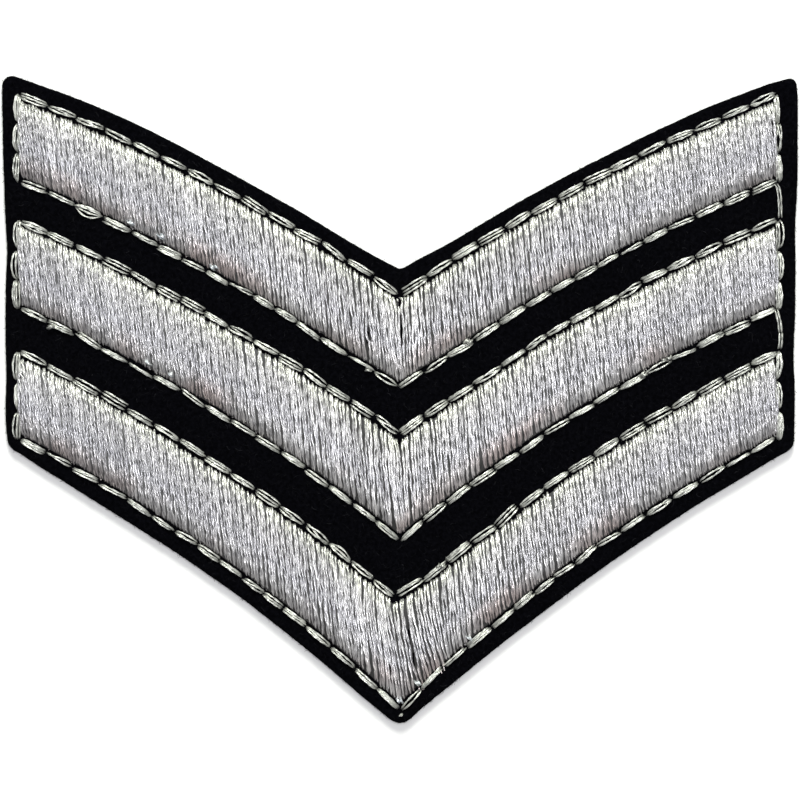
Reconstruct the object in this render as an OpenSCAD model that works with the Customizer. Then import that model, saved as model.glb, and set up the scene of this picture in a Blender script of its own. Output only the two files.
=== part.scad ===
// Rank chevron patch: three padded bars of satin stitch on a felt chevron, each bar framed by stitches.
// It lies face up. +Y points to the open side of the V, +Z out of the face, and the origin is on the
// underside, at the middle of the patch's width and height.

/* [Felt backing] */
// Width of the felt, from one upper corner to the other
felt_w = 80; // [70:0.5:120]
// Thickness of the felt
felt_t = 1.2; // [1:0.1:3]
// Rise of the felt's upper edge, from the notch on the centre line to the sides
felt_rise = 20.3; // [14:0.1:28]
// Bow of the felt's upper edge above a straight line
felt_upper_bow = 1.34; // [0.6:0.01:2.4]
// Bow of the felt's lower edge above a straight line
felt_lower_bow = 1.21; // [0.6:0.01:2.4]
// How far each side leans in on its way down
side_taper = 0.4; // [0:0.05:0.8]
// Radius of the two upper corners
upper_corner_r = 0.8; // [0.2:0.1:1.5]
// Radius of the two lower corners
lower_corner_r = 1.3; // [0.2:0.1:1.5]
// Radius of the tip at the bottom
tip_r = 1.5; // [0.3:0.1:2.5]
// Radius of the notch at the top
notch_r = 1.3; // [0.3:0.1:2.5]

/* [Embroidered bars] */
// Width across the upper bar
upper_bar_w = 7.25; // [5:0.05:9]
// Width across the middle bar
middle_bar_w = 7.35; // [5:0.05:9]
// Width across the lower bar
lower_bar_w = 7.1; // [5:0.05:9]
// Bow of the upper bar's upper edge above a straight line
upper_bar_bow = 1.18; // [0.6:0.01:2.4]
// Bow of the middle bar's upper edge above a straight line
middle_bar_bow = 1.38; // [0.6:0.01:2.4]
// Bow of the lower bar's upper edge above a straight line
lower_bar_bow = 1.56; // [0.6:0.01:2.4]
// Height of the bars above the felt, at their middle
bar_h = 0.65; // [0.4:0.05:1.2]
// Part of that height by which the face is crowned between its shoulders
bar_crown = 0.1; // [0.02:0.01:0.2]
// Width of the rounded shoulders along the bars' edges
shoulder_w = 1.3; // [0.5:0.05:2]
// Length over which the bars round down at their ends
end_round = 0.6; // [0.2:0.05:1.2]
// Width of the split at the top of the upper bar, on the centre line
split_w = 0.5; // [0.2:0.05:1]
// Depth of that split, down the centre line
split_depth = 1.5; // [0.5:0.1:3]

/* [Felt showing on the centre line] */
// Above the upper bar
upper_margin_mid = 2.45; // [2:0.05:5]
// Between the upper and the middle bar
upper_gap_mid = 5.65; // [3.5:0.05:9]
// Between the middle and the lower bar
lower_gap_mid = 7.35; // [3.5:0.05:9]
// Below the lower bar
lower_margin_mid = 2.4; // [2:0.05:5]

/* [Felt showing at the bar ends] */
// Above the upper bar
upper_margin_end = 1.95; // [1.6:0.05:4]
// Between the upper and the middle bar
upper_gap_end = 4.85; // [3.5:0.05:8]
// Between the middle and the lower bar
lower_gap_end = 5.2; // [3.5:0.05:8]
// Below the lower bar
lower_margin_end = 2; // [1.6:0.05:4]
// Beyond the bars, to the upper corners
side_margin = 1.7; // [1.5:0.05:4]

/* [Outline stitches] */
// Length of one stitch with the gap after it, before the row is shared out evenly
stitch_pitch = 3; // [2:0.1:5]
// Gap between one stitch and the next
stitch_gap = 0.25; // [0.2:0.01:0.5]
// Width of a stitch at its middle
stitch_w = 0.75; // [0.4:0.05:1]
// Width of a stitch at its ends
stitch_tip_w = 0.25; // [0.1:0.05:0.4]
// Felt between a bar and the stitches round it
stitch_clear = 0.12; // [0.1:0.01:0.3]

/* [Seat] */
// Air between the felt and the thread that lies on it
seat_gap = 0.05; // [0.02:0.01:0.1]

/* [Hidden] */

felt_colour = [0.03, 0.03, 0.04];
bar_colour = [0.72, 0.72, 0.73];
outline_colour = [0.82, 0.82, 0.8];

// Straight steps in each long edge of the felt, in each of its corners and across a bar's crown
edge_steps = 24;
corner_steps = 6;
crown_steps = 6;
// Degrees of rounding in each step of a shoulder
shoulder_turn = 15;
// Steps from a stitch's middle to its end
stitch_steps = 3;
// Sides of a full turn in the bars and in the stitches
bar_sides = 360;
stitch_sides = 24;
// How far a cutting solid runs past what it cuts
overrun = 1;

// How far the bars reach from the centre line
bar_reach = felt_w / 2 - side_margin;
// Height at which all the thread lies
thread_z = felt_t + seat_gap;
// From a bar's edge to the middle of the stitches beside it
row_offset = stitch_clear + stitch_w / 2;

// Every long edge is one arc on each side of the centre line, kept as its centre and its radius.
// It passes through a height on the centre line and a height at the distance called reach.
function edge(reach, mid_y, end_y, bow) =
    let (
        rise = end_y - mid_y,
        chord = norm([reach, rise]),
        radius = (chord * chord / 4 + bow * bow) / (2 * bow),
        drop = (radius - bow) / chord
    )
    [[reach / 2 + rise * drop, (mid_y + end_y) / 2 - reach * drop], radius];

// The same arc, moved down square to itself, or up when the distance is negative
function lowered(arc, distance) = [arc[0], arc[1] - distance];

// Height of an arc at a distance from the centre line, and the bearing of that point from its centre
function height_at(arc, x) = arc[0].y + sqrt(arc[1] * arc[1] - (x - arc[0].x) * (x - arc[0].x));
function bearing_at(arc, x) = acos((x - arc[0].x) / arc[1]);

// An edge below an arc, with the felt that shows between them on the centre line and at the bar ends
function edge_below(arc, felt_mid, felt_end, bow) =
    edge(bar_reach, height_at(arc, 0) - felt_mid, height_at(arc, bar_reach) - felt_end, bow);

// The felt's upper edge, the bars' upper edges and the felt's lower edge, from the top down
felt_upper_edge = edge(felt_w / 2, 0, felt_rise, felt_upper_bow);
upper_bar_edge = edge_below(felt_upper_edge,
    upper_margin_mid, upper_margin_end, upper_bar_bow);
middle_bar_edge = edge_below(lowered(upper_bar_edge, upper_bar_w),
    upper_gap_mid, upper_gap_end, middle_bar_bow);
lower_bar_edge = edge_below(lowered(middle_bar_edge, middle_bar_w),
    lower_gap_mid, lower_gap_end, lower_bar_bow);
felt_lower_edge = edge_below(lowered(lower_bar_edge, lower_bar_w),
    lower_margin_mid, lower_margin_end, felt_lower_bow);

// Centres of the felt's rounded corners: each touches one long edge, from inside or outside its arc
notch_arc = lowered(felt_upper_edge, -notch_r);
upper_corner_arc = lowered(felt_upper_edge, upper_corner_r);
lower_corner_arc = lowered(felt_lower_edge, -lower_corner_r);
tip_arc = lowered(felt_lower_edge, -tip_r);
upper_corner_x = felt_w / 2 - upper_corner_r;
lower_corner_x = felt_w / 2 - side_taper - lower_corner_r;

// The patch is centred between its upper corners and its tip
top_y = height_at(upper_corner_arc, upper_corner_x) + upper_corner_r;
bottom_y = height_at(tip_arc, 0) - tip_r;
middle_y = (top_y + bottom_y) / 2;

// Points on a circle, from one bearing to another
function arc_points(centre, radius, from, to, steps) =
    [for (i = [0 : steps]) centre + radius * direction(from + (to - from) * i / steps)];
function direction(bearing) = [cos(bearing), sin(bearing)];
function corner_points(arc, x, radius, from, to) =
    arc_points([x, height_at(arc, x)], radius, from, to, corner_steps);

// Right half of the felt's outline, clockwise from the notch to the tip
half_outline = concat(
    corner_points(notch_arc, 0, notch_r, -90, bearing_at(notch_arc, 0) - 180),
    arc_points(felt_upper_edge[0], felt_upper_edge[1],
        bearing_at(notch_arc, 0), bearing_at(upper_corner_arc, upper_corner_x), edge_steps),
    corner_points(upper_corner_arc, upper_corner_x, upper_corner_r,
        bearing_at(upper_corner_arc, upper_corner_x), 0),
    corner_points(lower_corner_arc, lower_corner_x, lower_corner_r,
        0, bearing_at(lower_corner_arc, lower_corner_x) - 180),
    arc_points(felt_lower_edge[0], felt_lower_edge[1],
        bearing_at(lower_corner_arc, lower_corner_x), bearing_at(tip_arc, 0), edge_steps),
    corner_points(tip_arc, 0, tip_r, bearing_at(tip_arc, 0) - 180, -90)
);

// What is drawn for one wing is mirrored for the other, and all of it is centred
module both_wings() {
    translate([0, -middle_y, 0])
        for (side = [0, 1])
            mirror([side, 0, 0])
                children();
}

module felt_backing() {
    color(felt_colour)
        both_wings()
            linear_extrude(felt_t)
                polygon(half_outline);
}

// Degrees round a shoulder at which its points lie, up to the start of the crown
shoulder_turns = [0 : shoulder_turn : 90 - shoulder_turn];

// Height of a bar's face at a distance in from its edge: a rounded shoulder under a low crown
function face_height(inset, width) =
    let (short = 1 - min(1, inset / shoulder_w), across = 1 - 2 * inset / width)
    (bar_h - bar_crown) * sqrt(1 - short * short) + bar_crown * (1 - across * across);

// Section of a bar, from its lower edge at zero to its upper edge
module bar_section(width) {
    shoulder = [for (turn = shoulder_turns) shoulder_w * (1 - cos(turn))];
    crown_w = width - 2 * shoulder_w;
    insets = concat(
        shoulder,
        [for (i = [0 : crown_steps]) shoulder_w + crown_w * i / crown_steps],
        [for (i = [len(shoulder) - 1 : -1 : 0]) width - shoulder[i]]
    );
    polygon([for (inset = insets) [inset, face_height(min(inset, width - inset), width)]]);
}

// What a bar's wing keeps: everything from the centre line to its end, which rounds down to the felt
module wing_limit() {
    end = [for (turn = shoulder_turns)
        [bar_reach - end_round * (1 - cos(turn)), (bar_h + bar_crown) * sin(turn)]];
    rotate([90, 0, 0])
        linear_extrude(2 * felt_w, center = true)
            polygon(concat(
                [[0, -overrun], [bar_reach, -overrun]],
                end,
                [[end[len(end) - 1].x, bar_h + overrun], [0, bar_h + overrun]]
            ));
}

module bar(arc, width) {
    lower = lowered(arc, width);
    from = bearing_at(arc, bar_reach + overrun);
    to = bearing_at(lower, -overrun);
    both_wings()
        translate([0, 0, thread_z])
            intersection() {
                translate(arc[0])
                    rotate(from)
                        rotate_extrude(angle = to - from, $fn = bar_sides)
                            translate([lower[1], 0])
                                bar_section(width);
                wing_limit();
            }
}

// Wedge that opens the split at the top of the upper bar
module split() {
    top = height_at(upper_bar_edge, 0);
    spread = split_w / 2 * (split_depth + overrun) / split_depth;
    translate([0, -middle_y, thread_z - overrun])
        linear_extrude(bar_h + 2 * overrun)
            polygon([[-spread, top + overrun], [0, top - split_depth], [spread, top + overrun]]);
}

module upper_bar() {
    color(bar_colour)
        difference() {
            bar(upper_bar_edge, upper_bar_w);
            split();
        }
}

module middle_bar() {
    color(bar_colour)
        bar(middle_bar_edge, middle_bar_w);
}

module lower_bar() {
    color(bar_colour)
        bar(lower_bar_edge, lower_bar_w);
}

// One stitch along X: a spindle with blunt ends, cut flat where it lies on the felt
module stitch(length) {
    bulge = (stitch_w - stitch_tip_w) / 2;
    side = [for (i = [-stitch_steps : stitch_steps])
        let (t = i / stitch_steps) [stitch_tip_w / 2 + bulge * (1 - t * t), t * length / 2]];
    intersection() {
        rotate([0, 90, 0])
            rotate_extrude($fn = stitch_sides)
                polygon(concat([[0, -length / 2]], side, [[0, length / 2]]));
        translate([-length, -length, 0])
            cube([2 * length, 2 * length, length]);
    }
}

// Number of stitches that share a length evenly
function stitch_count(length) = max(1, round(length / stitch_pitch));

// A row along an arc, from the centre line to the bars' end
module stitch_row(arc) {
    from = bearing_at(arc, bar_reach);
    span = bearing_at(arc, stitch_gap / 2) - from;
    count = stitch_count(arc[1] * span * PI / 180);
    turn = span / count;
    for (i = [0 : count - 1])
        translate(arc[0] + arc[1] * direction(from + (i + 0.5) * turn))
            rotate(from + (i + 0.5) * turn - 90)
                stitch(2 * arc[1] * sin(turn / 2) - stitch_gap);
}

// A short row straight down, past the bars' end
module end_row(x, low_y, high_y) {
    count = stitch_count(high_y - low_y);
    pitch = (high_y - low_y) / count;
    for (i = [0 : count - 1])
        translate([x, low_y + (i + 0.5) * pitch])
            rotate(90)
                stitch(pitch - stitch_gap);
}

// The stitches round one bar: a row along each long edge, and one past each end
module outline(arc, width) {
    upper_row = lowered(arc, -row_offset);
    lower_row = lowered(arc, width + row_offset);
    both_wings()
        translate([0, 0, thread_z]) {
            stitch_row(upper_row);
            stitch_row(lower_row);
            end_row(bar_reach + row_offset,
                height_at(lower_row, bar_reach), height_at(upper_row, bar_reach));
        }
}

module upper_outline() {
    color(outline_colour)
        outline(upper_bar_edge, upper_bar_w);
}

module middle_outline() {
    color(outline_colour)
        outline(middle_bar_edge, middle_bar_w);
}

module lower_outline() {
    color(outline_colour)
        outline(lower_bar_edge, lower_bar_w);
}

felt_backing();
upper_bar();
middle_bar();
lower_bar();
upper_outline();
middle_outline();
lower_outline();
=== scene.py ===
"""Rank chevron patch: black felt under three bars of satin stitch, each framed by short stitches.

The script works in millimetres in the frame's own axes, and turns them into metres as it makes each
mesh. Every outline, bar face and stitch is read from the frame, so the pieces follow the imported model.
"""

import math

import bpy
import numpy as np
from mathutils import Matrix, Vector
from mathutils.bvhtree import BVHTree
from mathutils.geometry import delaunay_2d_cdt
from mathutils.kdtree import KDTree


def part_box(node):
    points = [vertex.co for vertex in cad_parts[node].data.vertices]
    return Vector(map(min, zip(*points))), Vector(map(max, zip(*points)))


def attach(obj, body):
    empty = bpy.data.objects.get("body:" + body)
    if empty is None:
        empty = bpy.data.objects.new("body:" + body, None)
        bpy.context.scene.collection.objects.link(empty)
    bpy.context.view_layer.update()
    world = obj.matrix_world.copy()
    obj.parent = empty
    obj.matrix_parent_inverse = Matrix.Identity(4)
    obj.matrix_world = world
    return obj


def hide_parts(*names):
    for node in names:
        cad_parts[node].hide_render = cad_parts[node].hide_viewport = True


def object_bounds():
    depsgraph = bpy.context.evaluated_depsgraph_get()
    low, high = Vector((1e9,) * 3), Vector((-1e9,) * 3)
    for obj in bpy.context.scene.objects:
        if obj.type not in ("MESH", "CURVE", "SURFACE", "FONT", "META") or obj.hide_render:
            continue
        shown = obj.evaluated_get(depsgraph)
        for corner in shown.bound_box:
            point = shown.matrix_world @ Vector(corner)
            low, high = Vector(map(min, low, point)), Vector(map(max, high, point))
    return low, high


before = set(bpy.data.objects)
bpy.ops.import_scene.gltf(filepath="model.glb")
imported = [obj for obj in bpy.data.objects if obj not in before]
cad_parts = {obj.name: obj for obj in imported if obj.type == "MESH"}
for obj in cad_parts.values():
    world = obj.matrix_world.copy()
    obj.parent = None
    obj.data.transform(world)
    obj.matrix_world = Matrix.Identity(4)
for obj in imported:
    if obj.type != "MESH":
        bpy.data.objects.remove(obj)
cad_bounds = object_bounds()

MM = 0.001
BARS = ["upper", "middle", "lower"]

# The photo's side, the patch's width and middle in it, and the camera that sees it so
PHOTO_SIDE_PX = 800
PATCH_PX = 794
PATCH_MIDDLE_PX = (400.7, 400.25)
CAMERA_DISTANCE = 800.0
SENSOR = 36.0

# Light: each lamp's name, place, power and colour
LAMPS = [
    ("key", (0, 450, 420), 4.6, (0.97, 1.0, 0.91)),
    ("overhead", (40, 20, 700), 2.9, (0.98, 0.98, 1.0)),
]
LAMP_SIZE = 260
SKY = (0.98, 0.98, 1.0, 1.0)
SKY_STRENGTH = 0.3
FLOOR_SIZE_M = 4.0
FLOOR_BELOW_M = 0.00002
FLOOR_SHADE = (0.83, 0.83, 0.83, 1.0)

# Felt: its meshes, cut edge, needle dimples, flat size in metres, and fuzz
FELT_GRID = 0.5
FELT_BACK_GRID = 2.5
EDGE_STEP = 0.3
EDGE_ROUND = 0.16
EDGE_WAVE = 0.015
EDGE_FRAY = 0.008
EDGE_OUT = 0.07
FELT_DIMPLE = 0.16
FELT_DIMPLE_R = 0.5
FELT_GRAIN = 0.03
FIBRES = 3600
FIBRE_R = 0.012
FIBRE_LENGTH = (0.2, 0.8)
FIBRE_CURL = 1.2
FIBRE_ARCH = (0.01, 0.07)
EDGE_FIBRES = 500
EDGE_FIBRE_LENGTH = (0.15, 0.4)
EDGE_FIBRE_TURN = (0.9, 1.5)
COVERED_MARGIN = 0.9

# Where the cut edge strays from the plain V: middle along x or y, how far out, half length
UPPER_EDGE_STRAY = [(-29, 0.36, 9), (0.5, 0.4, 3), (30, 0.13, 7), (40, -0.25, 1.6)]
LOWER_EDGE_STRAY = [(-39.5, -0.2, 1.5), (-31, 0.12, 5), (-16, -0.1, 5), (-4.5, 0.1, 3), (2, -0.15, 2),
                    (25, -0.07, 6)]
LEFT_EDGE_STRAY = [(30, 0.14, 4), (25, 0.1, 2.5), (15, -0.19, 2), (7, 0.08, 3), (-1, 0.15, 2.5)]
RIGHT_EDGE_STRAY = [(24, 0.07, 5), (17, -0.15, 3), (5, -0.15, 3.5), (2, 0.1, 1.5)]

# How the sewing strays from the even V: a move to the left that grows along x, and pushes near some
# places, each as its place, its reach and the move
SEWING_ASIDE = {-39: -0.08, 0: -0.1, 20: -0.2, 36: -0.3, 39: -0.5}
SEWING_PUSHES = [((0.0, 1.3), 5.0, (0.0, 0.3)), ((0.0, -4.0), 5.0, (-0.1, 0.2)),
                 ((-0.5, -21.5), 4.0, (-0.45, 0.6)), ((-24.0, 10.0), 9.0, (0.1, -0.25)),
                 ((-20.0, -7.0), 8.0, (0.05, -0.2)), ((15.0, 5.0), 6.0, (0.0, 0.3)),
                 ((28.0, 14.0), 8.0, (0.0, 0.12))]
# How stitches have slid along their rows: middle along x, how far, half length
STITCH_SLIDES = {
    ("upper", "lower"): [(-26, 0.6, 5), (-9, -0.9, 5), (14, 0.7, 6), (27, -0.5, 5)],
    ("middle", "upper"): [(-27, 0.5, 6), (11, 0.6, 3), (27, -0.6, 6)],
    ("lower", "lower"): [(-26, 0.6, 4), (-10, -0.9, 4), (10, 0.7, 4), (23, -0.8, 6)],
}

# Satin thread: its spacing, lean in degrees, plies, twist and unevenness
SATIN_PITCH = 0.28
SATIN_PITCH_JITTER = 0.2
SATIN_LEAN = 5.6
SATIN_LEAN_JITTER = 1.1
SATIN_PLY_R = 0.091
SATIN_PLY_OFF = 0.086
SATIN_TWIST = 2.4
SATIN_TWIST_JITTER = (0.7, 1.4)
SATIN_STEP = 0.28
SATIN_LIFT = 0.035
SATIN_WOBBLE = 0.042
SATIN_WAVE = 0.035
SATIN_WOBBLE_RATE = (0.8, 2.0)

# Near a bar's middle the threads' feet gather, those of the lower bar fan out to the right (middle, half
# length, how far), and the threads stand more upright
SATIN_GATHER = 0.28
SATIN_GATHER_REACH = 3.0
LOWER_FAN = (2.4, 1.9, 1.1)
UPRIGHT_REACH = 6.0
UPRIGHT_SHARE = 0.3

# Where the threads end and how they lie over the bar's face; a thread's shape and its plies
SATIN_END = -0.1
SATIN_SINK = 0.15
SATIN_DOME = 0.16
SATIN_DROOP = 0.3
SATIN_TOP_INSET = (-0.08, 0.2)
SATIN_LOW_INSET = (-0.07, 0.05)
SHORT_THREADS = 0.07
SHORTER_BY = (0.15, 0.5)
THREAD_FLAT = 0.85
TWIST_SLACK = 0.5
PLY_SIDES = 5
UV_STRIDE = 11.7

# How far from a needle hole the rings at a thread's end lie, how deep each is, and the gap to the next
END_RINGS = [0.0, 0.07, 0.16, 0.3]
END_DEPTHS = [0.26, 0.09, 0.02, 0.0]
END_GAP = 0.15

# Factors at a bar's ends, where the threads are packed, and at its middle, where they are loose
LOOSE_REACH = 20.0
LOOSE_SHORTS = (0.5, 1.5)
LOOSE_LIFT = (0.6, 1.8)
LOOSE_LEAN = (0.6, 0.95)
LOOSE_TWIST = (0.9, 1.3)
LOOSE_PLY_R = (1.12, 1.03)
LOOSE_PLY_OFF = (0.95, 0.7)
LOOSE_PITCH = (0.6, 1.4)

# Partings between threads: the split at the top of each bar's middle, the slits that the photo shows
# (bar, x, top, foot, half width, lean), and the fine ones strewn over each bar
SPLIT_HALF = 0.3
SPLIT_DEPTH = {"upper": 1.4, "middle": 0.9, "lower": 0.7}
SPLIT_OPEN = {"upper": 0.3, "middle": 0.18, "lower": 0.14}
SPLIT_ABOVE = 0.4
SLIT_REACH = 0.6
SLITS = [
    ("upper", -3.25, 7.7, 5.5, 0.19, 0.07),
    ("lower", 1.2, -22.7, -25.0, 0.14, 0.03),
    ("lower", 1.5, -25.2, -27.7, 0.14, 0.05),
    ("lower", -0.8, -25.2, -28.8, 0.09, 0.0),
    ("lower", -38.1, 2.9, 1.7, 0.14, 0.0),
]
PARTINGS = 60
PARTING_SPREAD = 14.0
PARTING_HALF = (0.025, 0.075)
PARTING_LENGTH = (1.2, 3.2)
PARTING_LEAN = 0.08
PARTING_LEAN_JITTER = 0.04
CLOSED_TOP = 1.3
GROOVE_DEPTH = 0.8
GROOVE_FLAT = 1.4
GROOVE_WIDEN = 0.05

# Padding under the satin
PADDING_SINK = 0.2
PADDING_STEP = 0.6
PADDING_ROWS = 13
PADDING_END = 0.4
PADDING_FOOT = 0.12
PADDING_TOP = 0.3
GROOVE_STEP = 0.075
GROOVE_STEPS = 6

# Outline stitches: their strands, and for each row how far in they lie, how wide they spread and how
# many are wound; the ones at the bars' ends bulge outwards
STRAND_PLY_R = 0.064
STRAND_PLY_OFF = 0.046
STRAND_TWIST = 2.2
STRAND_TWIST_JITTER = (0.8, 1.3)
STRAND_STRAY = 0.04
STRAND_SLIP = 0.07
STRAND_RISE_JITTER = (-0.04, 0.1)
STRAND_LENGTH_JITTER = (-0.15, 0.1)
PAIR_SHARE = 0.6
STRANDS = {"upper": [3, 3, 3, 4], "lower": [2, 3, 3, 4], "end": [3, 4]}
STRAND_RINGS = 13
STITCH_TUCK = {"upper": 0.05, "lower": 0.14, "end": 0.4}
STITCH_WIDTH = {"upper": 0.98, "lower": 0.78, "end": 1.1}
STITCH_WIDTH_JITTER = (0.75, 1.2)
STITCH_STRAY = 0.05
STITCH_TURN = 2.8
STITCH_END_SPREAD = (0.3, 0.95)
STITCH_BELLY = 0.5
STITCH_SINK = 0.16
STITCH_RISE = 0.24
STITCH_ARCH = 0.45
END_BULGE = 0.26
END_POINTED = 0.5
WOUND_SHARE = {"upper": 0.45, "lower": 0.2, "end": 0.2}
WOUND_TURNS = (0.1, 0.3)
WOUND_LIFT = 0.07
WOUND_ENDS = (0.2, 0.5)

# Odd stitches: the bar, the stitch's middle, and how far out from its row each strand bows
ODD_NEAR = 1.3
ODD_END_SPREAD = (0.1, 0.1)
ODD_BELLY = 0.8
ODD_STITCHES = [
    ("upper", (-31.2, 18.6), (-0.3, -0.12, 0.22, 0.66)),
    ("upper", (-1.7, 1.6), (-0.24, 0.26)),
    ("upper", (-4.3, 3.2), (-0.12, 0.02)),
    ("lower", (-5.9, -15.3), (-0.15, 0.14, 0.5)),
]

# Strands that cross the felt from one outline to the next, laid in pairs
TRAVEL_ASIDE = (0.0, 0.27)
TRAVEL_SINK = 0.12
TRAVEL_ARCH = 0.26
TRAVEL_THREADS = [
    [(37.66, 21.8), (37.94, 21.2), (38.07, 19.8), (38.12, 18.4)],
    [(37.7, 9.1), (38.0, 7.9), (38.14, 6.8)],
    [(38.14, 6.8), (38.15, 6.1), (38.07, 5.2)],
]

# Short loose ends and knots of thread: x, y and size
BIT_LIFT = 0.15
BIT_ARCH = 0.5
BIT_TWIST = 1.2
BIT_REACH_JITTER = (0.7, 1.2)
LOOSE_BITS = [(-27.3, 17.85, 0.9), (-24.2, 16.4, 1.0), (-18.8, 13.4, 0.9), (-25.5, 3.8, 1.0),
              (-23.3, 2.6, 0.9), (6.9, -24.0, 0.7), (1.7, -28.5, 0.8), (-0.1, -30.2, 0.8)]
KNOTS = [(-35.1, 7.4, 1.1), (4.1, -16.7, 1.2), (26.8, 4.2, 1.0), (24.3, 2.6, 1.0), (6.7, 5.9, 1.2),
         (-3.3, 3.0, 0.9), (0.1, -31.7, 0.4)]

# Thread material: painted light and shade across a bar, from its top edge to its foot, and along the
# patch, from its left end to its right; the outline stitches take the painted light of KEY_LIT_BAND,
# near a bar's top edge
THREAD_METAL = 0.65
KEY_LIT_BAND = 0.05
FILAMENT_SCALE = (7.0, 1.8, 1.0)
# Painted shade on the padding along x, darkest at the bars' middles
PADDING_REACH = (-40.0, 40.0)
PADDING_PAINTED_SHADE = [(0.0, (1.0, 1.0, 1.0)), (0.3, (0.5, 0.5, 0.5)), (0.5, (0.22, 0.22, 0.22)),
                  (0.7, (0.5, 0.5, 0.5)), (1.0, (1.0, 1.0, 1.0))]
# Painted light along the patch: lightest near the middle, darker towards both ends, the left end most
PAINTED_LIGHT_SPAN = (-38.0, 38.0)
SPAN_PAINTED_LIGHT = [(0.0, (0.9, 0.9, 0.9)), (0.34, (0.94, 0.94, 0.93)), (0.46, (1.0, 1.0, 0.985)),
              (0.7, (0.98, 0.98, 0.97)), (1.0, (0.95, 0.95, 0.95))]
# Painted shade at the bars' feet along the patch: deepest along the left wing, none just right of the
# middle, some again towards the right end
FOOT_PAINTED_SHADE = [(0.0, (0.8, 0.8, 0.8)), (0.37, (0.83, 0.83, 0.83)), (0.5, (0.94, 0.94, 0.94)),
              (0.54, (1.0, 1.0, 1.0)), (0.7, (1.0, 1.0, 1.0)), (0.85, (0.91, 0.91, 0.91)),
              (1.0, (0.86, 0.86, 0.86))]
# Painted light across a bar: lighter and greenish at the top edge, where the key light catches it,
# darker and bluish across its lower middle
BAND_PAINTED_LIGHT = [(0.0, (1.0, 1.0, 0.93)), (0.1, (1.0, 1.0, 0.95)), (0.2, (0.94, 0.93, 0.93)),
              (0.6, (0.8, 0.795, 0.835)), (0.85, (1.0, 0.985, 1.0)), (1.0, (0.95, 0.91, 0.91))]


def node_mesh(name):
    """Welded vertices in millimetres, and triangles, of a CAD node."""
    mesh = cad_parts[name].data
    co = np.empty(len(mesh.vertices) * 3)
    mesh.vertices.foreach_get("co", co)
    mesh.calc_loop_triangles()
    tris = np.empty(len(mesh.loop_triangles) * 3, int)
    mesh.loop_triangles.foreach_get("vertices", tris)
    keys = np.round(co.reshape(-1, 3) / MM, 4)
    points, index = np.unique(keys, axis=0, return_inverse=True)
    return points, index.reshape(-1)[tris].reshape(-1, 3)


def rim_edges(points, tris):
    """The edges round a solid's flat underside, as pairs of (x, y) points."""
    low = points[:, 2] < points[:, 2].min() + 1e-3
    flat = tris[low[tris].all(axis=1)]
    edges = np.sort(np.concatenate([flat[:, [0, 1]], flat[:, [1, 2]], flat[:, [2, 0]]]), axis=1)
    unique, count = np.unique(edges, axis=0, return_counts=True)
    return points[unique[count == 1]][:, :, :2]


def crossings(edges, x):
    """Highest and lowest y at which the rim crosses a line of constant x."""
    a, b = edges[:, 0], edges[:, 1]
    hit = (a[:, 0] - x) * (b[:, 0] - x) <= 0
    hit &= np.abs(b[:, 0] - a[:, 0]) > 1e-9
    a, b = a[hit], b[hit]
    y = a[:, 1] + (x - a[:, 0]) / (b[:, 0] - a[:, 0]) * (b[:, 1] - a[:, 1])
    return y.max(), y.min()


def rim_loop(edges):
    """The rim's edges joined into one closed loop of points."""
    keys = {}
    for n, edge in enumerate(np.round(edges, 4)):
        for end in edge:
            keys.setdefault(tuple(end), []).append(n)
    start = tuple(np.round(edges[0, 0], 4))
    loop, here, used = [start], start, set()
    while len(used) < len(edges):
        n = next(n for n in keys[here] if n not in used)
        used.add(n)
        ends = [tuple(e) for e in np.round(edges[n], 4)]
        here = ends[1] if ends[0] == here else ends[0]
        loop.append(here)
    return np.array(loop[:-1])


def run_along(path):
    """Distance along a path at each of its points."""
    return np.concatenate([[0], np.cumsum(np.linalg.norm(np.diff(path, axis=0), axis=1))])


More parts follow.
